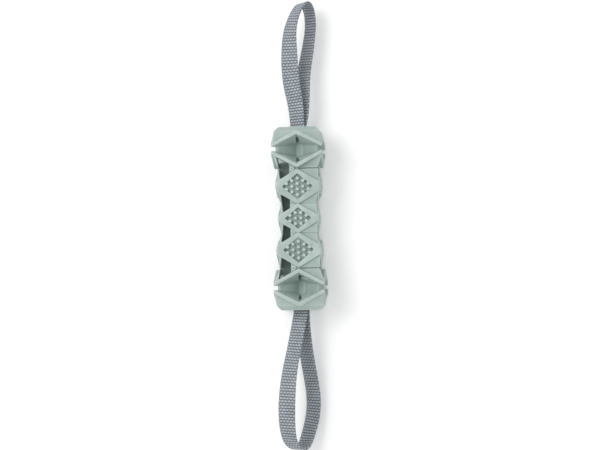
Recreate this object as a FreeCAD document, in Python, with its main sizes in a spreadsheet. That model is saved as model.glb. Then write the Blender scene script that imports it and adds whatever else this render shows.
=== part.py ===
import FreeCAD, Part
import math
import os

# A dog's training bumper: a moulded rubber bar with nubbed pads and treat pockets on its four
# long faces, and one length of webbing through its middle that makes a hand loop at each end.
# The bar lies along X. It is drawn about its own axis and lifted at the end, so that it rests
# on Z = 0. Seen from above with +X away, +Y is to the left.

Vector = FreeCAD.Vector
Rotation = FreeCAD.Rotation
Placement = FreeCAD.Placement

doc = FreeCAD.newDocument("training_bumper")

# ---------------------------------------------------------------- driving sizes, millimetres
SIZES = [
    ("body_length", 160.0, "rubber bar, end to end"),
    ("end_half", 21.6, "half width at the end blocks"),
    ("end_taper_half", 20.0, "half width where the end chamfer starts"),
    ("end_face_half", 16.2, "half width of the flat end face"),
    ("end_chamfer", 4.0, "length of the chamfer at each end"),
    ("neck_half", 17.5, "half width where the end block meets the pad segment"),
    ("pocket_lip_half", 20.9, "half width at the pocket diamond's inner tip"),
    ("pad_half", 18.9, "half width at the middle of a pad segment"),
    ("pad_neck_half", 18.1, "half width of a pad segment beside the end block"),
    ("waist_half", 15.5, "half width where a pad segment meets the middle segment"),
    ("waist_lip_half", 16.2, "half width of the middle segment beside the waist"),
    ("middle_half", 17.0, "half width at the centre of the bar"),
    ("corner_chamfer", 1.0, "flat along the four long corners"),
    ("pocket_x", 60.4, "pocket centre from the middle of the bar"),
    ("pad_x", 27.6, "pad centre from the middle of the bar"),
    ("neck_x", 43.4, "joint line between end block and pad segment"),
    ("waist_x", 12.6, "joint line between pad segment and middle segment"),
    ("pocket_tip", 16.6, "half length of a pocket diamond to its sharp tips"),
    ("pocket_side", 4.6, "half length of a pocket diamond at the corners"),
    ("pad_tip", 15.4, "half length of a pad diamond to its sharp tips"),
    ("pad_side", 3.8, "half length of a pad diamond at the corners"),
    ("middle_tip", 13.0, "half length of the middle diamond to its sharp tips"),
    ("middle_side", 2.4, "half length of the middle diamond at the corners"),
    ("rim_tip_round", 4.0, "rounding of the diamond tips"),
    ("rim_rise", 0.7, "how far the diamonds stand out of the bar's faces"),
    ("end_flat", 6.5, "half length of the flat that each end block rests on"),
    ("pocket_opening_half", 13.4, "half length of the pocket mouth"),
    ("pocket_draft", 0.42, "how much the pocket narrows per unit of depth"),
    ("pad_opening_half", 11.4, "half length of a pad's nub field"),
    ("pad_opening_side", 13.4, "half width of a pad's nub field"),
    ("middle_opening_half", 9.4, "half length of the middle nub field"),
    ("middle_opening_side", 11.6, "half width of the middle nub field"),
    ("panel_inner", 0.8, "distance from a face's centre line to its closed panels"),
    ("panel_recess", 0.9, "depth of the closed panels below the bar's faces"),
    ("corner_rib", 3.2, "width of the rib beside the windows"),
    ("corner_rib_lean", 1.3, "extra width where the corners draw in"),
    ("window_inner", 7.0, "distance from a face's centre line to its windows"),
    ("window_floor", 0.6, "height of the window floor above the bar's axis"),
    ("slit_height", 2.8, "gap between the flaps of a pocket"),
    ("web_reach", 18.0, "how far the diagonal webs reach towards the corners"),
    ("web_thickness", 3.0, "diagonal webs inside the pockets"),
    ("groove_width", 2.4, "groove at the root of each pocket"),
    ("groove_half", 11.0, "half length of that groove"),
    ("groove_top", 15.5, "height of that groove above the axis"),
    ("corner_slit", 0.5, "hairline slit at the side tips of the pads"),
    ("nub_pitch", 4.75, "nub spacing along and across"),
    ("nub_radius", 1.5, "nub radius"),
    ("nub_height", 3.2, "depth of the nub field"),
    ("boss_radius", 2.0, "round boss beside each end window"),
    ("boss_hole_radius", 0.55, "pin hole in that boss"),
    ("webbing_width", 15.5, "webbing, edge to edge"),
    ("webbing_thickness", 1.8, "one layer of webbing"),
    ("webbing_gap", 0.1, "air between two layers"),
    ("webbing_angle", 32.0, "turn of the webbing about the bar's axis, degrees"),
    ("tunnel_clearance", 0.3, "air all round the webbing in its tunnel"),
    ("core_wall", 2.4, "rubber either side of the tunnel"),
    ("core_end_wall", 0.7, "rubber past the round sides of the tunnel"),
    ("lap_length", 36.0, "sewn overlap of the webbing's two ends"),
    ("lap_ramp", 10.0, "length over which the upper end steps over the lower one"),
    ("thread_radius", 0.35, "sewing thread"),
    ("stitch_pitch", 4.0, "length of one stitch"),
    ("hinge_offset", 2.7, "where a loop bends, in front of the end face"),
    ("upper_reach", 111.6, "upper loop beyond the end face"),
    ("upper_opening", 24.0, "upper loop, between the middles of its two sides"),
    ("upper_crown", 30.0, "upper loop, from its widest place to its top"),
    ("upper_turn", 46.0, "turn of the upper loop about its length, degrees"),
    ("upper_lean", 4.0, "upper loop's lean towards -Y, degrees"),
    ("lower_reach", 122.2, "lower loop beyond the end face"),
    ("lower_opening", 38.2, "lower loop, between the middles of its two sides"),
    ("lower_crown", 38.0, "lower loop, from its widest place to its bottom"),
    ("lower_turn", 36.0, "turn of the lower loop about its length, degrees"),
    ("lower_lean", 1.6, "lower loop's lean towards +Y, degrees"),
]

sheet = doc.addObject("Spreadsheet::Sheet", "Sizes")
for row, (alias, value, note) in enumerate(SIZES, start=1):
    sheet.set("A%d" % row, str(value))
    sheet.setAlias("A%d" % row, alias)
    sheet.set("B%d" % row, note)
doc.recompute()


def size(alias):
    return float(getattr(sheet, alias))


half_length = size("body_length") / 2
layer_step = size("webbing_thickness") + size("webbing_gap")
lift = Vector(0, 0, size("end_half") + size("rim_rise"))
centre_shift = Vector((size("lower_reach") - size("upper_reach")) / 2, 0, 0)
REST = centre_shift + lift


# ---------------------------------------------------------------- small solids
def solid_between(outline_a, outline_b):
    """A closed solid from two outlines with the same number of points."""
    count = len(outline_a)
    faces = [
        Part.Face(Part.makePolygon(outline_a + [outline_a[0]])),
        Part.Face(Part.makePolygon(outline_b + [outline_b[0]])),
    ]
    for i in range(count):
        j = (i + 1) % count
        ring = [outline_a[i], outline_a[j], outline_b[j], outline_b[i], outline_a[i]]
        faces.append(Part.Face(Part.makePolygon(ring)))
    solid = Part.makeSolid(Part.makeShell(faces))
    if solid.Volume < 0:
        solid.reverse()
    return solid


def section(x, half, chamfer):
    """The bar's square section with chamfered corners, at one place along X."""
    near = half - chamfer
    corners = [(half, near), (near, half), (-near, half), (-half, near)]
    corners += [(-half, -near), (-near, -half), (near, -half), (half, -near)]
    return [Vector(x, y, z) for y, z in corners]


def rhombus(x, half_long, half_wide, z):
    return [
        Vector(x + half_long, 0, z),
        Vector(x, half_wide, z),
        Vector(x - half_long, 0, z),
        Vector(x, -half_wide, z),
    ]


def box(x_low, x_high, y_low, y_high, z_low, z_high):
    corner = Vector(x_low, y_low, z_low)
    return Part.makeBox(x_high - x_low, y_high - y_low, z_high - z_low, corner)


def upright_edges(solid):
    found = []
    for edge in solid.Edges:
        a, b = edge.Vertexes[0].Point, edge.Vertexes[-1].Point
        if abs(a.x - b.x) < 1e-6 and abs(a.y - b.y) < 1e-6:
            found.append(edge)
    return found


def edges_at_height(solid, z):
    return [e for e in solid.Edges if all(abs(v.Z - z) < 1e-6 for v in e.Vertexes)]


def all_faces(shape):
    """Four copies of a shape drawn on the +Z face, one for each long face."""
    copies = []
    for quarter in range(4):
        copy = shape.copy()
        copy.rotate(Vector(0, 0, 0), Vector(1, 0, 0), 90 * quarter)
        copies.append(copy)
    return copies


def both_ends(shape):
    """The shape and its mirror image at the other end of the bar."""
    return [shape, shape.mirror(Vector(0, 0, 0), Vector(1, 0, 0))]


def fuse_all(shapes):
    return shapes[0].multiFuse(shapes[1:]) if len(shapes) > 1 else shapes[0]


# ---------------------------------------------------------------- the bar's outer form
def segmented(stations, inset):
    """Segments of chamfered square section between stations, at both ends of the bar."""
    chamfer = size("corner_chamfer")
    segments = []
    for (x0, a0), (x1, a1) in zip(stations, stations[1:]):
        lower = section(x0, a0 - inset, chamfer)
        upper = section(x1, a1 - inset, chamfer)
        segments += both_ends(solid_between(lower, upper))
    return fuse_all(segments)


END_STATIONS = [
    (size("pocket_x") - size("end_flat"), size("end_half")),
    (size("pocket_x") + size("end_flat"), size("end_half")),
    (half_length - size("end_chamfer"), size("end_taper_half")),
    (half_length, size("end_face_half")),
]
BAR_STATIONS = [
    (0.0, size("middle_half")),
    (size("waist_x") - 0.4, size("waist_lip_half")),
    (size("waist_x"), size("waist_half")),
    (size("pad_x"), size("pad_half")),
    (size("neck_x") - 0.6, size("pad_neck_half")),
    (size("neck_x"), size("neck_half")),
] + END_STATIONS
POCKET_STATIONS = [(size("neck_x") - 2.0, size("pocket_lip_half"))] + END_STATIONS


rise = size("rim_rise")
end_top = size("end_half") + rise

# Each diamond: centre, half length to its sharp tips, half length at the corners, flat top.
DIAMONDS = {
    "pocket": (size("pocket_x"), size("pocket_tip"), size("pocket_side"), end_top),
    "pad": (size("pad_x"), size("pad_tip"), size("pad_side"), size("pad_half") + rise),
    "middle": (0.0, size("middle_tip"), size("middle_side"), size("middle_half") + rise),
}


def edge_slope(kind):
    _, tip, side, top = DIAMONDS[kind]
    return (tip - side) / top


def diamond_plate(kind, raised_form):
    """A diamond that stands a little out of the bar and reaches its long corners."""
    x, tip, side, top = DIAMONDS[kind]
    points = [(tip, 0), (side, top), (-side, top), (-tip, 0), (-side, -top), (side, -top)]
    root = size("window_inner")
    outline = [Vector(x + dx, dy, root) for dx, dy in points]
    plate = Part.Face(Part.makePolygon(outline + [outline[0]])).extrude(
        Vector(0, 0, top + 1 - root)
    )
    tips = [e for e in upright_edges(plate) if abs(e.Vertexes[0].Y) < 1e-6]
    plate = plate.makeFillet(size("rim_tip_round"), tips)
    return plate.common(raised_form)


def prism(outline, z_low, z_high):
    face = Part.Face(Part.makePolygon(outline + [outline[0]]))
    face.translate(Vector(0, 0, z_low))
    return face.extrude(Vector(0, 0, z_high - z_low))


def gap_outline(outer_kind, inner_kind, side):
    """The gap between two diamonds: windows leave a corner rib, panels run out over it."""
    outer_x, outer_tip, _, outer_top = DIAMONDS[outer_kind]
    inner_x, inner_tip, _, inner_top = DIAMONDS[inner_kind]
    if side > 0:
        near = size("window_inner")
        margin = size("corner_rib") + size("corner_rib_lean")
    else:
        near = size("panel_inner")
        margin = -1.0
    far_outer = outer_top - margin
    far_inner = inner_top - margin
    upper = outer_x - outer_tip
    lower = inner_x + inner_tip
    start = max(near, (lower - upper) / (edge_slope(outer_kind) + edge_slope(inner_kind)) + 0.2)
    points = [
        (upper + edge_slope(outer_kind) * far_outer, far_outer),
        (upper + edge_slope(outer_kind) * start, start),
        (lower - edge_slope(inner_kind) * start, start),
        (lower - edge_slope(inner_kind) * far_inner, far_inner),
    ]
    return [Vector(x, side * y, 0) for x, y in points]


def panel_floor(stations, inset):
    """The bar's faces lowered to the floor of the panels, and spread past the corners."""
    segments = []
    for ends in zip(stations, stations[1:]):
        outlines = []
        for x, half in ends:
            y = half + 5.0
            z = half - inset
            outlines.append([Vector(x, a, b) for a, b in ((y, z), (-y, z), (-y, -z), (y, -z))])
        segments += both_ends(solid_between(*outlines))
    return fuse_all(segments)


def end_for_end(outline):
    return [Vector(-p.x, p.y, p.z) for p in outline]


def face_gaps(side):
    """The four gaps on one side of a face, from one end of the bar to the other."""
    outlines = [gap_outline("pocket", "pad", side), gap_outline("pad", "middle", side)]
    return outlines + [end_for_end(outline) for outline in outlines]


# ---------------------------------------------------------------- what is cut from the bar
def webbing_frame(shape):
    """Turns a shape drawn flat, webbing width along Y, to the webbing's angle."""
    shape.rotate(Vector(0, 0, 0), Vector(1, 0, 0), -size("webbing_angle"))
    return shape


def across_webbing(distance):
    """A step square to the webbing's flat faces."""
    turn = math.radians(size("webbing_angle"))
    return Vector(0, distance * math.sin(turn), distance * math.cos(turn))


def round_bar(x_low, x_high, width, height):
    """A bar along X with full round sides, for the core and the tunnel."""
    radius = height / 2
    reach = width / 2 - radius
    length = x_high - x_low
    parts = [box(x_low, x_high, -reach, reach, -radius, radius)]
    for y in (-reach, reach):
        parts.append(Part.makeCylinder(radius, length, Vector(x_low, y, 0), Vector(1, 0, 0)))
    return webbing_frame(fuse_all(parts))


def tunnel_sizes(layers):
    """Width and height of a round-sided tunnel whose sides clear the corners of a stack."""
    clearance = size("tunnel_clearance")
    stack = layers * size("webbing_thickness") + (layers - 1) * size("webbing_gap")
    radius = stack / 2 + clearance
    lost_to_round = radius - math.sqrt(radius ** 2 - (stack / 2) ** 2)
    width = size("webbing_width") + 2 * clearance + 2 * lost_to_round
    return width, 2 * radius


def webs_and_core():
    """What is left standing inside the pockets: a core round the tunnel and an X of webs."""
    reach = size("web_reach") * math.sqrt(2)
    half = size("web_thickness") / 2
    kept = []
    for angle in (45, 135):
        web = box(-half_length, half_length, -reach, reach, -half, half)
        web.rotate(Vector(0, 0, 0), Vector(1, 0, 0), angle)
        kept.append(web)
    width, height = tunnel_sizes(2)
    core_width = width + 2 * size("core_end_wall")
    kept.append(round_bar(-half_length, half_length, core_width, height + 2 * size("core_wall")))
    return fuse_all(kept)


def pocket_cut():
    """All four mouths of one end's pocket, with the slits through the corners."""
    x = size("pocket_x")
    mouth = size("pocket_opening_half")
    wide = end_top * mouth / (mouth - size("slit_height") / 2)
    shapes = []
    over = 2.0
    above = (mouth + size("pocket_draft") * over) / mouth
    below = (mouth - size("pocket_draft") * end_top) / mouth
    funnel = solid_between(
        rhombus(x, mouth * below, wide * below, 0.0),
        rhombus(x, mouth * above, wide * above, end_top + over),
    )
    shapes += all_faces(funnel)
    half = size("groove_width") / 2
    groove = box(x - size("groove_half"), x + size("groove_half"), -half, half, 0, size("groove_top"))
    shapes += all_faces(groove)
    out = end_top + 1
    slit = size("slit_height") / 2
    shapes.append(box(x - slit, x + slit, -out, out, -out, out))
    return fuse_all(shapes).cut(webs_and_core())


def nub_field(kind, columns):
    """The recess inside a diamond's rim, and the nubs that stand in it."""
    x, _, _, top = DIAMONDS[kind]
    floor = top - size("nub_height")
    outline = rhombus(x, size(kind + "_opening_half"), size(kind + "_opening_side"), 0)
    recess = prism(outline, floor, top + 1)
    nubs = []
    pitch = size("nub_pitch")
    for column, count in enumerate(columns):
        y = (column - (len(columns) - 1) / 2) * pitch
        for row in range(count):
            nub_x = x + (row - (count - 1) / 2) * pitch
            nubs.append(nub(nub_x, y, floor, top))
    return recess, nubs


def nub(x, y, floor, top):
    """A short post with a domed tip, a little proud of the rim."""
    radius = size("nub_radius")
    dome = radius * 0.6
    post = Part.makeCylinder(radius, top - floor + 0.8, Vector(x, y, floor - 0.5))
    return post.makeFillet(dome, edges_at_height(post, top + 0.3))


def end_boss(end):
    """A round boss with a pin hole on the bridge beside an end window."""
    x = end * size("neck_x")
    y = size("window_inner") - size("boss_radius") - 0.3
    top = size("pad_half") + 0.2
    boss = Part.makeCylinder(size("boss_radius"), 5.0, Vector(x, y, top - 5.0))
    hole = Part.makeCylinder(size("boss_hole_radius"), 3.0, Vector(x, y, top - 3.0))
    return boss, hole


def corner_slits():
    """Hairline slits across the four corners at the side tips of the pads."""
    cuts = []
    half = size("corner_slit") / 2
    for x, top in ((size("pad_x"), size("pad_half") + rise), (0.0, size("middle_half") + rise)):
        tip = box(x - half, x + half, top - 2.5, top + 1, top - 2.5, top + 1)
        for slit in all_faces(tip):
            cuts += both_ends(slit) if x > 0 else [slit]
    return cuts


def rubber_bar():
    form = segmented(BAR_STATIONS, 0.0)
    pad_form = segmented(BAR_STATIONS, -size("rim_rise"))
    pocket_form = segmented(POCKET_STATIONS, -size("rim_rise"))
    plates = []
    for kind in DIAMONDS:
        plate = diamond_plate(kind, pocket_form if kind == "pocket" else pad_form)
        plates += [plate] if kind == "middle" else both_ends(plate)
    on_one_face = fuse_all(plates)
    bar = form.multiFuse(all_faces(on_one_face))

    out = end_top + 1
    recesses = []
    windows = []
    for outline in face_gaps(-1):
        recesses.append(prism(outline, size("window_inner"), out))
    for outline in face_gaps(1):
        windows.append(prism(outline, size("window_floor"), out))
    floor = panel_floor(BAR_STATIONS, size("panel_recess"))
    panels = all_faces(Part.makeCompound(recesses).cut(floor))

    fields = []
    nubs = []
    pad_recess, pad_nubs = nub_field("pad", (2, 3, 4, 3, 2))
    middle_recess, middle_nubs = nub_field("middle", (2, 3, 3, 2))
    fields += both_ends(pad_recess) + [middle_recess]
    for post in pad_nubs:
        nubs += both_ends(post)
    nubs += middle_nubs
    bosses = [end_boss(end) for end in (1, -1)]
    nubs += [boss for boss, hole in bosses]
    holes = [hole for boss, hole in bosses]

    cutters = list(panels)
    cutters += all_faces(Part.makeCompound(windows))
    cutters += all_faces(Part.makeCompound(fields))
    cutters += both_ends(pocket_cut())
    cutters += corner_slits()
    bar = bar.cut(cutters)
    bar = bar.multiFuse(all_faces(Part.makeCompound(nubs)))

    width, height = tunnel_sizes(2)
    lap_width, lap_height = tunnel_sizes(3)
    room = size("lap_length") / 2 + size("lap_ramp") + 2
    tunnel = round_bar(-half_length - 1, half_length + 1, width, height)
    chamber = round_bar(-room, room, lap_width, lap_height)
    chamber.translate(across_webbing(-layer_step / 2))
    bar = bar.cut([tunnel, chamber] + all_faces(Part.makeCompound(holes)))
    return bar.removeSplitter()


bar = doc.addObject("Part::Feature", "bumper_body")
bar.Label = "bumper_body"
bar.Shape = rubber_bar()
bar.Placement = Placement(REST, Rotation())


# ---------------------------------------------------------------- webbing inside the bar
def flat_run(name, x_low, x_high, level):
    """One straight layer of webbing, its middle at the given level off the bar's axis."""
    run = doc.addObject("Part::Box", name)
    run.Label = name
    run.Length = x_high - x_low
    run.setExpression("Width", "Sizes.webbing_width")
    run.setExpression("Height", "Sizes.webbing_thickness")
    turn = Rotation(Vector(1, 0, 0), -size("webbing_angle"))
    corner = Vector(x_low, -size("webbing_width") / 2, level - size("webbing_thickness") / 2)
    run.Placement = Placement(REST, Rotation()).multiply(Placement(Vector(), turn))
    run.Placement = run.Placement.multiply(Placement(corner, Rotation()))
    return run


front_run = flat_run("webbing_front_run", -half_length, half_length, layer_step / 2)
front_run.setExpression("Length", "Sizes.body_length")
lap_half = size("lap_length") / 2
lower_end = flat_run("webbing_lower_end", -half_length, lap_half, -layer_step / 2)
lower_end.setExpression("Length", "(Sizes.body_length + Sizes.lap_length) / 2")


def extruded(name, face, placement):
    """A strap piece: its side view extruded by the width of the webbing."""
    profile = doc.addObject("Part::Feature", name + "_side_view")
    profile.Shape = face
    piece = doc.addObject("Part::Extrusion", name)
    piece.Label = name
    piece.Base = profile
    piece.DirMode = "Custom"
    piece.Dir = Vector(0, 1, 0)
    piece.Symmetric = True
    piece.setExpression("LengthFwd", "Sizes.webbing_width")
    piece.Placement = placement
    return piece


def webbing_turn(degrees):
    return Placement(Vector(), Rotation(Vector(1, 0, 0), -degrees))


def stepped_side_view():
    """The upper end lies along the lower end, then steps in beside the front run."""
    half = size("webbing_thickness") / 2
    line = [(-lap_half, -1.5 * layer_step), (lap_half, -1.5 * layer_step)]
    line += [(lap_half + size("lap_ramp"), -layer_step / 2), (half_length, -layer_step / 2)]
    upper = [Vector(x, 0, z + half) for x, z in line]
    lower = [Vector(x, 0, z - half) for x, z in line]
    return Part.Face(Part.makePolygon(upper + lower[::-1] + [upper[0]]))


rest_placement = Placement(REST, Rotation())
inside = rest_placement.multiply(webbing_turn(size("webbing_angle")))
upper_end = extruded("webbing_upper_end", stepped_side_view(), inside)


def stitch_row(y):
    """One line of thread through both ends of the lap, in square waves."""
    radius = size("thread_radius")
    top = -layer_step / 2 + size("webbing_thickness") / 2 - radius
    bottom = -1.5 * layer_step - size("webbing_thickness") / 2 + radius / 2
    count = int((size("lap_length") - 4) / size("stitch_pitch"))
    start = -count * size("stitch_pitch") / 2
    parts = []
    for i in range(count + 1):
        x = start + i * size("stitch_pitch")
        parts.append(Part.makeCylinder(radius, top - bottom, Vector(x, y, bottom)))
        if i < count:
            level = bottom if i % 2 == 0 else top
            along = Vector(1, 0, 0)
            pitch = size("stitch_pitch")
            parts.append(Part.makeCylinder(radius * 0.9, pitch, Vector(x, y, level), along))
    return fuse_all(parts)


stitching = doc.addObject("Part::Feature", "lap_stitching")
stitching.Label = "lap_stitching"
inset = size("webbing_width") / 2 - 2.5
stitching.Shape = Part.makeCompound([stitch_row(y) for y in (-inset, 0.0, inset)])
stitching.Placement = inside


# ---------------------------------------------------------------- hand loops
def bezier(points):
    curve = Part.BezierCurve()
    curve.setPoles([Vector(x, 0, z) for x, z in points])
    return curve.toShape()


def half_oval(x, reach, half_width):
    """Half an ellipse that bulges towards +X, from its lower to its upper end."""
    centre = Vector(x, 0, 0)
    tip = Vector(x + reach, 0, 0)
    top = Vector(x, 0, half_width)
    if reach >= half_width:
        ellipse = Part.Ellipse(tip, top, centre)
    else:
        ellipse = Part.Ellipse(top, tip, centre)
    first = ellipse.parameter(Vector(x, 0, -half_width))
    last = ellipse.parameter(Vector(x, 0, half_width))
    arc = Part.ArcOfEllipse(ellipse, first, last)
    middle = arc.value((arc.FirstParameter + arc.LastParameter) / 2)
    if middle.x < x:
        arc = Part.ArcOfEllipse(ellipse, last, first)
    return arc.toShape()


def drop_outline(start, start_half, x, crown, half_width):
    """A closed drop: two flaring sides from the root and an oval crown."""
    span = x - start
    side = [
        (start, start_half),
        (start + 0.38 * span, start_half + 0.06 * half_width),
        (x - 0.42 * span, half_width),
        (x, half_width),
    ]
    far_side = [(a, -b) for a, b in side]
    return [bezier(side), half_oval(x, crown, half_width), bezier(far_side)]


def loop_side_view(reach, opening, crown):
    """Side view of a hand loop, its bending line at the origin."""
    thickness = size("webbing_thickness")
    widest = reach - size("hinge_offset") - crown
    outer = drop_outline(0.0, thickness, widest, crown, (opening + thickness) / 2)
    root = Part.Arc(Vector(0, 0, -thickness), Vector(-thickness, 0, 0), Vector(0, 0, thickness))
    outer_wire = Part.Wire(Part.__sortEdges__(outer + [root.toShape()]))
    seam = 0.15
    start = 7.0
    inner = drop_outline(start, seam, widest, crown - thickness, (opening - thickness) / 2)
    closing = Part.makeLine(Vector(start, 0, -seam), Vector(start, 0, seam))
    inner_wire = Part.Wire(Part.__sortEdges__(inner + [closing]))
    return Part.Face(outer_wire).cut(Part.Face(inner_wire)).Faces[0]


def loop_placement(end, turn, lean):
    root = Vector(end * (half_length + size("hinge_offset")), 0, 0)
    placement = rest_placement.multiply(Placement(root, Rotation(Vector(0, 0, 1), -lean)))
    placement = placement.multiply(webbing_turn(turn))
    return placement.multiply(Placement(Vector(), Rotation(Vector(0, 0, 1), 90 - 90 * end)))


loops = []
for name, end in (("upper", 1), ("lower", -1)):
    reach, opening, crown = [size(name + key) for key in ("_reach", "_opening", "_crown")]
    side_view = loop_side_view(reach, opening, crown)
    placement = loop_placement(end, size(name + "_turn"), size(name + "_lean"))
    loops.append(extruded(name + "_loop", side_view, placement))

# ---------------------------------------------------------------- checks and files
doc.recompute()
pieces = [bar, front_run, lower_end, upper_end, stitching] + loops
for item in doc.Objects:
    if "Invalid" in item.State or "Error" in item.State:
        raise RuntimeError("%s failed: %s" % (item.Label, item.State))
os.makedirs("parts", exist_ok=True)
for piece in pieces:
    shape = piece.Shape
    if shape.isNull() or not shape.isValid():
        raise RuntimeError("%s has no valid shape" % piece.Label)
    shape.exportStep(os.path.join("parts", piece.Label + ".step"))
    b = shape.BoundBox
    print(
        "%-20s solids %2d  volume %9.1f  x %.1f %.1f  y %.1f %.1f  z %.1f %.1f"
        % (piece.Label, len(shape.Solids), shape.Volume, b.XMin, b.XMax, b.YMin, b.YMax, b.ZMin, b.ZMax)
    )
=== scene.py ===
import bpy
import bmesh
import math
import numpy as np
from mathutils import Matrix, Vector


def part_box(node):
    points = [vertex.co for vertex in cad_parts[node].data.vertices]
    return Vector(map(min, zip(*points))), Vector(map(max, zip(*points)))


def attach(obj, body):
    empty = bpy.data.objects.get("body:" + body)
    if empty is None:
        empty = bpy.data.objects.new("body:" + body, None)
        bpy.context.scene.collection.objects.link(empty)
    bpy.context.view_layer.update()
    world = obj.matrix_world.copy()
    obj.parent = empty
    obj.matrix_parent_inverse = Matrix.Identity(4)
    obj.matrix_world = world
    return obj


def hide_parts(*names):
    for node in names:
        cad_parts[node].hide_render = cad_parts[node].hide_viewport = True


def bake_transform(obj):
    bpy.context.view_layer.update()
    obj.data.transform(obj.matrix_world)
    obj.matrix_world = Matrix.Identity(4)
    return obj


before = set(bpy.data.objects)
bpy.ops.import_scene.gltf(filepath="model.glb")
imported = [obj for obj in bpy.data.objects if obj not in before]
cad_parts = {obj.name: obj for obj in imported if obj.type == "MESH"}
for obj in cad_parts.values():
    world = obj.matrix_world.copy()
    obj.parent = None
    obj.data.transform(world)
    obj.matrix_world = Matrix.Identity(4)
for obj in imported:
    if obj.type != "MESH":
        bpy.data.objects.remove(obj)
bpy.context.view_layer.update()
mm = 0.001

bodyLow, bodyHigh = [Vector(corner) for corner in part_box("bumper_body")]
barAxis = (bodyLow + bodyHigh) / 2                 # middle of the rubber bar
upperMouth = bodyHigh.x                            # end faces that the webbing comes out of
lowerMouth = bodyLow.x


def addNode(tree, kind, place, **settings):
    node = tree.nodes.new(kind)
    node.location = place
    for name, value in settings.items():
        setattr(node, name, value)
    return node


def setInputs(node, **values):
    for name, value in values.items():
        node.inputs[name.replace("_", " ")].default_value = value
    return node


def rampStops(node, stops):
    elements = node.color_ramp.elements
    while len(elements) < len(stops):
        elements.new(0.5)
    for element, (position, colour) in zip(elements, stops):
        element.position = position
        element.color = (*colour, 1.0)


def newGroup(name, inputs, outputs):
    group = bpy.data.node_groups.new(name, "ShaderNodeTree")
    for socket, kind, value in inputs:
        group.interface.new_socket(socket, in_out="INPUT", socket_type=kind).default_value = value
    for socket, kind in outputs:
        group.interface.new_socket(socket, in_out="OUTPUT", socket_type=kind)
    return group


# mottled tint and fine bump of any moulded or spun surface, in object space
def makeGrainGroup():
    group = newGroup(
        "surfaceGrain",
        [("Scale", "NodeSocketFloat", 900.0), ("Patches", "NodeSocketFloat", 45.0),
         ("Depth", "NodeSocketFloat", 0.00004)],
        [("Mottle", "NodeSocketFloat"), ("Speck", "NodeSocketFloat"), ("Normal", "NodeSocketVector")],
    )
    start = addNode(group, "NodeGroupInput", (-700, 0))
    end = addNode(group, "NodeGroupOutput", (500, 0))
    place = addNode(group, "ShaderNodeTexCoord", (-700, 300))
    patches = addNode(group, "ShaderNodeTexNoise", (-400, 300))
    setInputs(patches, Detail=4.0, Roughness=0.6)
    grain = addNode(group, "ShaderNodeTexNoise", (-400, 0))
    setInputs(grain, Detail=3.0, Roughness=0.7)
    bump = addNode(group, "ShaderNodeBump", (100, -150))
    setInputs(bump, Strength=1.0)
    link = group.links.new
    for texture, scale in ((patches, "Patches"), (grain, "Scale")):
        link(place.outputs["Object"], texture.inputs["Vector"])
        link(start.outputs[scale], texture.inputs["Scale"])
    link(start.outputs["Depth"], bump.inputs["Distance"])
    link(grain.outputs["Fac"], bump.inputs["Height"])
    link(patches.outputs["Fac"], end.inputs["Mottle"])
    link(grain.outputs["Fac"], end.inputs["Speck"])
    link(bump.outputs["Normal"], end.inputs["Normal"])
    return group


# 0 in creases, which get painted shade, 1 on outer edges, which get a painted highlight
def makeCreaseShadeGroup():
    group = newGroup(
        "creaseShadeEdgeHighlight",
        [("Low", "NodeSocketFloat", 0.46), ("High", "NodeSocketFloat", 0.56)],
        [("Edge", "NodeSocketFloat")],
    )
    start = addNode(group, "NodeGroupInput", (-500, 0))
    end = addNode(group, "NodeGroupOutput", (300, 0))
    geometry = addNode(group, "ShaderNodeNewGeometry", (-500, 200))
    spread = addNode(group, "ShaderNodeMapRange", (-100, 0), interpolation_type="SMOOTHSTEP")
    group.links.new(geometry.outputs["Pointiness"], spread.inputs["Value"])
    group.links.new(start.outputs["Low"], spread.inputs["From Min"])
    group.links.new(start.outputs["High"], spread.inputs["From Max"])
    group.links.new(spread.outputs["Result"], end.inputs["Edge"])
    return group


grainGroup = makeGrainGroup()
creaseShadeGroup = makeCreaseShadeGroup()
noiseRange = {"From_Min": 0.3, "From_Max": 0.7}      # where most of a noise texture's values lie


def newMaterial(name):
    material = bpy.data.materials.new(name)
    material.use_nodes = True
    return material, material.node_tree, material.node_tree.nodes["Principled BSDF"]


def placeGroup(tree, group, place, **values):
    node = addNode(tree, "ShaderNodeGroup", place, node_tree=group)
    return setInputs(node, **values)


# spreads a noise over the values from low to high
def spreadNoise(tree, place, low, high):
    node = addNode(tree, "ShaderNodeMapRange", place)
    return setInputs(node, **noiseRange, To_Min=low, To_Max=high)


rubberFinish = {
    # painted light: creases are darkened as painted shade, outer edges are lightened as a painted
    # highlight
    "paintedCreaseShading": [
        (0.0, (0.225, 0.295, 0.276)),       # painted shade in creases
        (0.45, (0.335, 0.418, 0.388)),      # faces
        (1.0, (0.470, 0.548, 0.520)),       # painted highlight on outer edges
    ],
    "edgeLow": 0.455,
    "edgeHigh": 0.545,
    "mottle": 0.10,
    "patchScale": 60.0,
    "grainScale": 1400.0,
    "grainDepth": 0.05 * mm,
    "roughness": (0.40, 0.56),
    "specular": 0.42,
}


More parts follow.
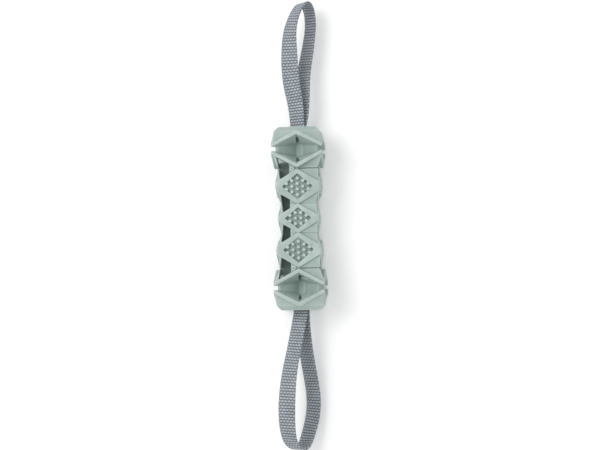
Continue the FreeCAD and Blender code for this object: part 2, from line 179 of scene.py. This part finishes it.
def makeRubber(finish):
    material, tree, shader = newMaterial("sageRubber")
    grain = placeGroup(tree, grainGroup, (-900, 0), Scale=finish["grainScale"],
                       Patches=finish["patchScale"], Depth=finish["grainDepth"])
    edges = placeGroup(tree, creaseShadeGroup, (-900, 300), Low=finish["edgeLow"], High=finish["edgeHigh"])
    # the pointiness mask paints shade into creases and a highlight onto outer edges
    ramp = addNode(tree, "ShaderNodeValToRGB", (-600, 300))
    rampStops(ramp, finish["paintedCreaseShading"])
    mottle = spreadNoise(tree, (-600, 0), 1.0 - finish["mottle"], 1.0 + finish["mottle"])
    tint = addNode(tree, "ShaderNodeVectorMath", (-250, 200), operation="SCALE")
    rough = spreadNoise(tree, (-250, -100), *finish["roughness"])
    link = tree.links.new
    link(edges.outputs["Edge"], ramp.inputs["Fac"])
    link(grain.outputs["Mottle"], mottle.inputs["Value"])
    link(ramp.outputs["Color"], tint.inputs[0])
    link(mottle.outputs["Result"], tint.inputs["Scale"])
    link(tint.outputs["Vector"], shader.inputs["Base Color"])
    link(grain.outputs["Speck"], rough.inputs["Value"])
    link(rough.outputs["Result"], shader.inputs["Roughness"])
    link(grain.outputs["Normal"], shader.inputs["Normal"])
    setInputs(shader, Specular_IOR_Level=finish["specular"])
    return material


webbingFinish = {
    # painted light: the weave height paints shade into the gaps and a highlight onto the float tops
    "weaveShading": [
        (0.05, (0.030, 0.036, 0.045)),      # painted shade in the gaps between the floats
        (0.55, (0.215, 0.245, 0.275)),      # picks and flanks, partly in painted shade
        (1.0, (0.420, 0.460, 0.500)),       # painted highlight on the tops of the floats
    ],
    "mottle": 0.14,
    "patchScale": 140.0,
    "fuzzScale": 2600.0,
    "fuzzDepth": 0.03 * mm,
    "filament": 0.22 * mm,
    "filamentStretch": 120.0,               # changes per metre along a filament
    "filamentDepth": 0.05 * mm,
    "roughness": 0.62,
    "sheen": 0.25,
    "sheenRoughness": 0.4,
}


# yarns get a painted highlight on top and painted shade in the gaps, and their filaments run along the
# strap
def makeWebbing(finish):
    material, tree, shader = newMaterial("greyWebbing")
    relief = addNode(tree, "ShaderNodeAttribute", (-1000, 300), attribute_name="relief")
    # painted shade in the gaps and painted highlight on the floats, set by the weave height
    ramp = addNode(tree, "ShaderNodeValToRGB", (-650, 300))
    rampStops(ramp, finish["weaveShading"])
    grain = placeGroup(tree, grainGroup, (-1000, 0), Scale=finish["fuzzScale"],
                       Patches=finish["patchScale"], Depth=finish["fuzzDepth"])
    mottle = spreadNoise(tree, (-650, 0), 1.0 - finish["mottle"], 1.0 + finish["mottle"])
    tint = addNode(tree, "ShaderNodeVectorMath", (-300, 200), operation="SCALE")
    strap = addNode(tree, "ShaderNodeUVMap", (-1250, -300), uv_map="strap")
    stretch = addNode(tree, "ShaderNodeMapping", (-1000, -300))
    stretch.inputs["Scale"].default_value = (finish["filamentStretch"], 1.0 / finish["filament"], 1.0)
    filaments = addNode(tree, "ShaderNodeTexNoise", (-650, -300), noise_dimensions="2D")
    setInputs(filaments, Scale=1.0, Detail=2.0, Roughness=0.5)
    bump = addNode(tree, "ShaderNodeBump", (-300, -300))
    bump.inputs["Distance"].default_value = finish["filamentDepth"]
    link = tree.links.new
    link(relief.outputs["Fac"], ramp.inputs["Fac"])
    link(grain.outputs["Mottle"], mottle.inputs["Value"])
    link(ramp.outputs["Color"], tint.inputs[0])
    link(mottle.outputs["Result"], tint.inputs["Scale"])
    link(tint.outputs["Vector"], shader.inputs["Base Color"])
    link(strap.outputs["UV"], stretch.inputs["Vector"])
    link(stretch.outputs["Vector"], filaments.inputs["Vector"])
    link(filaments.outputs["Fac"], bump.inputs["Height"])
    link(grain.outputs["Normal"], bump.inputs["Normal"])
    link(bump.outputs["Normal"], shader.inputs["Normal"])
    setInputs(shader, Roughness=finish["roughness"], Sheen_Weight=finish["sheen"])
    setInputs(shader, Sheen_Roughness=finish["sheenRoughness"])
    return material


threadFinish = {
    # painted light: the ply bands are darker in their grooves as painted shade and lighter on their
    # crests as a painted highlight
    "plies": [(0.2, (0.020, 0.022, 0.026)), (0.9, (0.075, 0.080, 0.090))],
    "plyScale": 688.9,
    "plyDepth": 0.06 * mm,
    "wobble": 1.5,
    "roughness": 0.6,
    "sheen": 0.2,
}


def makeThread(finish):
    material, tree, shader = newMaterial("sewingThread")
    place = addNode(tree, "ShaderNodeTexCoord", (-900, 0))
    plies = addNode(tree, "ShaderNodeTexWave", (-650, 0), bands_direction="DIAGONAL")
    setInputs(plies, Scale=finish["plyScale"], Distortion=finish["wobble"], Detail=2.0)
    # same bands as the bump: painted shade in the grooves, painted highlight on the crests
    ramp = addNode(tree, "ShaderNodeValToRGB", (-350, 150))
    rampStops(ramp, finish["plies"])
    bump = addNode(tree, "ShaderNodeBump", (-350, -150))
    bump.inputs["Distance"].default_value = finish["plyDepth"]
    link = tree.links.new
    link(place.outputs["Object"], plies.inputs["Vector"])
    link(plies.outputs["Fac"], ramp.inputs["Fac"])
    link(plies.outputs["Fac"], bump.inputs["Height"])
    link(ramp.outputs["Color"], shader.inputs["Base Color"])
    link(bump.outputs["Normal"], shader.inputs["Normal"])
    setInputs(shader, Roughness=finish["roughness"], Sheen_Weight=finish["sheen"])
    return material


rubber = makeRubber(rubberFinish)
webbing = makeWebbing(webbingFinish)
thread = makeThread(threadFinish)
print("materials made")


def applyModifiers(piece):
    graph = bpy.context.evaluated_depsgraph_get()
    mesh = bpy.data.meshes.new_from_object(piece.evaluated_get(graph))
    piece.modifiers.clear()
    piece.data = mesh
    mesh.name = piece.name


def dress(piece, material):
    piece.data.materials.clear()
    piece.data.materials.append(material)
    for face in piece.data.polygons:
        face.use_smooth = True


def newPiece(name, bm, material):
    mesh = bpy.data.meshes.new(name)
    bm.to_mesh(mesh)
    bm.free()
    piece = bpy.data.objects.new(name, mesh)
    bpy.context.scene.collection.objects.link(piece)
    dress(piece, material)
    return piece


moulding = {
    "weld": 0.001 * mm,
    "voxel": 0.42 * mm,         # also the softness of the moulded edges
    "smoothing": 2,
    "smoothingStrength": 0.5,
    "triangles": 190000,
}


def makeRubberBar(settings):
    bm = bmesh.new()
    bm.from_mesh(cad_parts["bumper_body"].data)
    bmesh.ops.remove_doubles(bm, verts=bm.verts, dist=settings["weld"])
    bar = newPiece("rubber_bar", bm, rubber)
    remesh = bar.modifiers.new("mould", "REMESH")
    remesh.mode = "VOXEL"
    remesh.voxel_size = settings["voxel"]
    applyModifiers(bar)
    relax = bar.modifiers.new("relax", "SMOOTH")
    relax.factor = settings["smoothingStrength"]
    relax.iterations = settings["smoothing"]
    thin = bar.modifiers.new("thin", "DECIMATE")
    triangles = 2.0 * len(bar.data.polygons)        # the remesh leaves only quads
    thin.ratio = min(1.0, settings["triangles"] / triangles)
    applyModifiers(bar)
    dress(bar, rubber)
    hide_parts("bumper_body")
    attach(bar, "bar")
    return bar


rubberBar = makeRubberBar(moulding)
print("rubber bar:", len(rubberBar.data.polygons), "faces")


strapCloth = {
    "width": 15.5 * mm,
    "thickness": 1.75 * mm,
    "columns": 10,              # warp bundles across
    "rowPitch": 2.47 * mm,
    "floatLength": 0.50,        # half length of a float, in rows
    "floatWidth": 1.00,         # half width of a float, in columns
    "pickWidth": 0.36,          # the weft picks that show between the floats
    "pickHeight": 0.70,
    "relief": 0.45 * mm,
    "edgeWidth": 0.9 * mm,      # the rounded strip along each side
    "edgeThinning": 0.75,
    "selvedge": 0.35 * mm,
    "selvedgeLevel": 0.6,       # weave height at which the side is in line
    "alongStep": 0.41 * mm,
    "acrossStep": 0.388 * mm,
    "routeSteps": 4000,
}


def smoothLine(points, count):
    # uniform cubic B-spline with its ends held, over listed points
    rows = np.array([points[0]] * 2 + list(points) + [points[-1]] * 2, dtype=float)
    spans = len(rows) - 3
    at = np.linspace(0.0, spans - 1e-9, count)
    index = at.astype(int)
    u = (at - index)[:, None]
    weights = [(1 - u) ** 3, 3 * u ** 3 - 6 * u ** 2 + 4, -3 * u ** 3 + 3 * u ** 2 + 3 * u + 1, u ** 3]
    return sum(w * rows[index + k] for k, w in enumerate(weights)) / 6.0


# route points are along the bar, left of its axis, above its axis, all in mm, and the turn of the
# webbing about the bar in degrees
def strapFrames(route, count):
    line = smoothLine(route, count)
    middle = line[:, :3] * mm + np.array([0.0, barAxis.y, barAxis.z])
    steps = np.linalg.norm(np.diff(middle, axis=0), axis=1)
    keep = np.concatenate([[True], steps > 1e-9])
    middle = middle[keep]
    turn = np.radians(line[keep, 3])
    along = np.concatenate([[0.0], np.cumsum(np.linalg.norm(np.diff(middle, axis=0), axis=1))])
    tangent = np.gradient(middle, along, axis=0)
    tangent /= np.linalg.norm(tangent, axis=1)[:, None]
    width = np.stack([np.zeros_like(turn), -np.cos(turn), np.sin(turn)], axis=1)
    width -= tangent * np.sum(width * tangent, axis=1)[:, None]
    width /= np.linalg.norm(width, axis=1)[:, None]
    outward = np.cross(tangent, width)
    return along, middle, width, outward


# height of the plain weave, from 0 in the gaps to 1 on top of a float
def weaveHeight(s, w, side, cloth):
    pitch = cloth["width"] / cloth["columns"]
    row = s / cloth["rowPitch"]
    column = w / pitch + cloth["columns"] / 2 - 0.5
    height = np.zeros_like(s)
    for columnStep in (-1, 0, 1):
        for rowStep in (-1, 0, 1, 2):
            i = np.round(column) + columnStep
            k = np.floor(row) + rowStep
            over = ((i + k + (side < 0)) % 2 == 0) & (i >= 0) & (i < cloth["columns"])
            off = ((row - k) / cloth["floatLength"]) ** 2 + ((column - i) / cloth["floatWidth"]) ** 2
            height = np.maximum(height, np.where(over, np.sqrt(np.clip(1 - off, 0, 1)), 0))
    fromPick = np.abs(row - np.round(row)) / cloth["pickWidth"]
    picks = cloth["pickHeight"] * np.sqrt(np.clip(1 - fromPick ** 2, 0, 1))
    return np.maximum(height, picks)


# a larger coarse leaves fewer faces, for the runs inside the bar
def makeStrap(name, route, cloth, coarse=1.0):
    along, middle, width, outward = strapFrames(route, cloth["routeSteps"])
    length = along[-1]
    rows = int(length / (cloth["alongStep"] * coarse))
    columns = int(round(cloth["width"] / (cloth["acrossStep"] * coarse)))
    bm = bmesh.new()
    bmesh.ops.create_grid(bm, x_segments=rows, y_segments=columns, size=0.5)
    bmesh.ops.scale(bm, vec=(length, cloth["width"], 1.0), verts=bm.verts)
    bmesh.ops.solidify(bm, geom=bm.faces[:], thickness=cloth["thickness"])
    bmesh.ops.recalc_face_normals(bm, faces=bm.faces)
    heights = [v.co.z for v in bm.verts]
    centre = (min(heights) + max(heights)) / 2
    bmesh.ops.translate(bm, vec=(length / 2, 0.0, -centre), verts=bm.verts)
    uvLayer = bm.loops.layers.uv.new("strap")
    for face in bm.faces:
        for corner in face.loops:
            corner[uvLayer].uv = corner.vert.co.xy
    piece = newPiece(name, bm, webbing)

    flat = np.empty(len(piece.data.vertices) * 3)
    piece.data.vertices.foreach_get("co", flat)
    flat = flat.reshape(-1, 3)
    s, w, side = flat[:, 0], flat[:, 1], np.sign(flat[:, 2])
    height = weaveHeight(s, w, side, cloth)
    edgeStart = cloth["width"] / 2 - cloth["edgeWidth"]
    edge = np.clip((np.abs(w) - edgeStart) / cloth["edgeWidth"], 0, 1)
    surface = cloth["thickness"] / 2 - cloth["relief"] * (1 - height)
    lift = side * surface * np.sqrt(1 - cloth["edgeThinning"] * edge ** 2)
    wider = w + np.sign(w) * edge * cloth["selvedge"] * (height - cloth["selvedgeLevel"])
    s = np.clip(s, 0, length)

    def follow(values):
        return np.stack([np.interp(s, along, values[:, axis]) for axis in range(3)], axis=1)

    bent = follow(middle) + follow(width) * wider[:, None] + follow(outward) * lift[:, None]
    piece.data.vertices.foreach_set("co", bent.ravel())
    # the weave height is also the mask for the webbing's painted shade and highlight
    relief = piece.data.attributes.new("relief", "FLOAT", "POINT")
    relief.data.foreach_set("value", height)
    piece.data.update()
    print(name, "length %.1f mm" % (length / mm), len(piece.data.polygons), "faces")
    return piece


tunnel = {
    "turn": 32.0,               # of the webbing about the bar, degrees
    "layer": 0.95,              # each layer's middle off the bar's axis, mm
    "endGap": 3.2,              # from the end face to the start of an inner run, mm
    "lapHalf": 18.0,            # the sewn lap in the middle of the bar, mm
    "lapRamp": 10.0,
    "runPoints": 5,
    "coarse": 1.5,
}
slotY = tunnel["layer"] * math.sin(math.radians(tunnel["turn"]))
slotZ = tunnel["layer"] * math.cos(math.radians(tunnel["turn"]))
upperEnd = upperMouth / mm
lowerEnd = lowerMouth / mm

upperLoopRoute = [
    (upperEnd - 3.0, slotY, slotZ, 32),
    (upperEnd + 3.0, slotY, slotZ + 0.1, 32),
    (upperEnd + 9.0, 0.9, 1.3, 31),
    (101.0, 1.3, 1.9, 29),
    (110.0, 2.3, 3.0, 23),
    (118.6, 3.9, 4.2, 16),
    (127.4, 5.1, 5.2, 12),
    (136.2, 5.7, 6.2, 12),
    (145.0, 6.0, 7.2, 16),
    (153.8, 5.9, 8.0, 24),
    (162.6, 5.7, 8.6, 32),
    (171.4, 4.9, 8.9, 39),
    (180.2, 2.6, 8.6, 45),
    (188.5, -0.6, 7.2, 47),
    (195.0, -4.2, 3.4, 48),
    (197.1, -7.2, -0.6, 49),
    (194.4, -10.0, -4.6, 49),
    (188.0, -11.6, -7.2, 49),
    (180.2, -12.2, -8.4, 48),
    (171.4, -11.5, -8.8, 47),
    (162.6, -10.2, -8.4, 44),
    (153.8, -8.8, -7.8, 40),
    (145.0, -7.1, -6.9, 37),
    (136.2, -5.5, -5.9, 34),
    (127.4, -4.8, -4.9, 33),
    (118.6, -4.4, -4.1, 32),
    (110.0, -4.0, -3.4, 32),
    (101.0, -3.4, -2.7, 32),
    (upperEnd + 9.0, -2.6, -2.0, 32),
    (upperEnd + 4.0, -1.3, -1.3, 32),
    (upperEnd - 3.0, -slotY, -slotZ, 32),
]

lowerLoopRoute = [
    (lowerEnd + 3.0, slotY, slotZ, 32),
    (lowerEnd - 3.0, slotY + 0.1, slotZ + 0.2, 32),
    (-83.8, 1.9, 2.2, 33),
    (-92.6, 3.5, 4.2, 33),
    (-101.4, 5.2, 6.2, 33),
    (-110.2, 6.9, 8.1, 32),
    (-119.0, 8.8, 10.0, 31),
    (-127.8, 10.4, 11.9, 28),
    (-136.6, 11.6, 13.6, 24),
    (-145.4, 12.4, 14.8, 20),
    (-154.2, 13.0, 15.4, 16),
    (-163.0, 13.3, 15.4, 16),
    (-171.8, 13.3, 14.4, 20),
    (-180.6, 12.8, 12.4, 26),
    (-188.0, 11.6, 9.4, 31),
    (-194.0, 8.6, 5.2, 34),
    (-197.0, 4.0, -0.6, 36),
    (-194.4, 0.6, -6.4, 36),
    (-188.4, -1.7, -10.4, 35),
    (-180.6, -4.0, -13.1, 34),
    (-171.8, -6.4, -14.7, 33),
    (-163.0, -7.6, -15.3, 33),
    (-154.2, -8.0, -15.3, 33),
    (-145.4, -7.4, -14.5, 33),
    (-136.6, -6.2, -13.0, 33),
    (-127.8, -4.9, -11.0, 33),
    (-119.0, -3.6, -8.8, 33),
    (-110.2, -2.6, -6.6, 33),
    (-101.4, -1.8, -4.6, 33),
    (-92.6, -1.2, -2.9, 33),
    (-83.8, -0.8, -1.7, 32),
    (lowerEnd - 3.0, -slotY - 0.1, -slotZ - 0.2, 32),
    (lowerEnd + 3.0, -slotY, -slotZ, 32),
]


# bakes a strap's placement into its mesh
def bendAtMouth(strap):
    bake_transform(strap)


upperLoop = makeStrap("upper_hand_loop", upperLoopRoute, strapCloth)
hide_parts("upper_loop")
bendAtMouth(upperLoop)
lowerLoop = makeStrap("lower_hand_loop", lowerLoopRoute, strapCloth)
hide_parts("lower_loop")
bendAtMouth(lowerLoop)


# straight points at one level: the stacked layers of the strap are at levels 1, -1 and -3
def insideRoute(first, last, level):
    count = tunnel["runPoints"]
    step = (last - first) / (count - 1)
    return [(first + step * i, level * slotY, level * slotZ, tunnel["turn"]) for i in range(count)]


runStart = lowerEnd + tunnel["endGap"]
runEnd = upperEnd - tunnel["endGap"]
lapStart = barAxis.x / mm - tunnel["lapHalf"]
lapEnd = barAxis.x / mm + tunnel["lapHalf"]
upperEndRoute = insideRoute(lapStart, lapEnd, -3) + insideRoute(lapEnd + tunnel["lapRamp"], runEnd, -1)
innerRuns = {
    "webbing_front_run": insideRoute(runStart, runEnd, 1),
    "webbing_lower_end": insideRoute(runStart, lapEnd, -1),
    "webbing_upper_end": upperEndRoute,
}
for name, route in innerRuns.items():
    run = makeStrap(name.replace("webbing", "inner"), route, strapCloth, coarse=tunnel["coarse"])
    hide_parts(name)
    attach(run, "bar")

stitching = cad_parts["lap_stitching"]
stitching.data.materials.clear()
stitching.data.materials.append(thread)
print("webbing made")


studio = {
    "floor": (0.96, 0.96, 0.96),
    "floorGlow": 0.10,
    "floorSize": 6.0,
    "world": (1.0, 1.0, 1.0),
    "worldStrength": 0.72,
    "key": {"power": 10.0, "size": 0.9, "place": (0.35, 0.75, 1.25), "colour": (1.0, 0.995, 0.98)},
    "fill": {"power": 2.0, "size": 1.2, "place": (-0.3, -0.9, 0.9), "colour": (0.93, 0.97, 1.0)},
}


def makeFloor():
    bm = bmesh.new()
    bmesh.ops.create_grid(bm, x_segments=1, y_segments=1, size=studio["floorSize"] / 2)
    material, tree, shader = newMaterial("paleFloor")
    setInputs(shader, Base_Color=(*studio["floor"], 1.0), Roughness=0.9)
    setInputs(shader, Emission_Color=(1.0, 1.0, 1.0, 1.0), Emission_Strength=studio["floorGlow"])
    newPiece("floor", bm, material)


def makeLight(name):
    settings = studio[name]
    data = bpy.data.lights.new(name, "AREA")
    data.energy = settings["power"]
    data.size = settings["size"]
    data.color = settings["colour"]
    light = bpy.data.objects.new(name, data)
    light.location = settings["place"]
    light.rotation_euler = (barAxis - light.location).to_track_quat("-Z", "Y").to_euler()
    bpy.context.scene.collection.objects.link(light)


view = {
    "distance": 1.3,
    "towardsRight": 5.0,        # degrees off straight down
    "towardsLower": 2.6,
    "roll": 1.1,
    "lens": 88.6,
    "clip": 0.01,
}


def makeCamera():
    data = bpy.data.cameras.new("camera")
    data.lens = view["lens"]
    data.clip_start = view["clip"]
    camera = bpy.data.objects.new("camera", data)
    target = Vector((0.0, 0.0, barAxis.z))
    side = math.tan(math.radians(view["towardsRight"]))
    down = math.tan(math.radians(view["towardsLower"]))
    back = Vector((-down, -side, 1.0)).normalized()
    roll = math.radians(view["roll"])
    up = Vector((math.cos(roll), -math.sin(roll), 0.0))
    right = up.cross(back).normalized()
    up = back.cross(right)
    turn = Matrix((right, up, back)).transposed().to_4x4()
    camera.matrix_world = Matrix.Translation(target + back * view["distance"]) @ turn
    bpy.context.scene.collection.objects.link(camera)
    bpy.context.scene.camera = camera


makeFloor()
makeLight("key")
makeLight("fill")
makeCamera()
world = bpy.data.worlds.new("studio")
world.use_nodes = True
background = world.node_tree.nodes["Background"]
setInputs(background, Color=(*studio["world"], 1.0), Strength=studio["worldStrength"])
bpy.context.scene.world = world
bpy.context.scene.view_settings.view_transform = "Standard"
print("stage set")
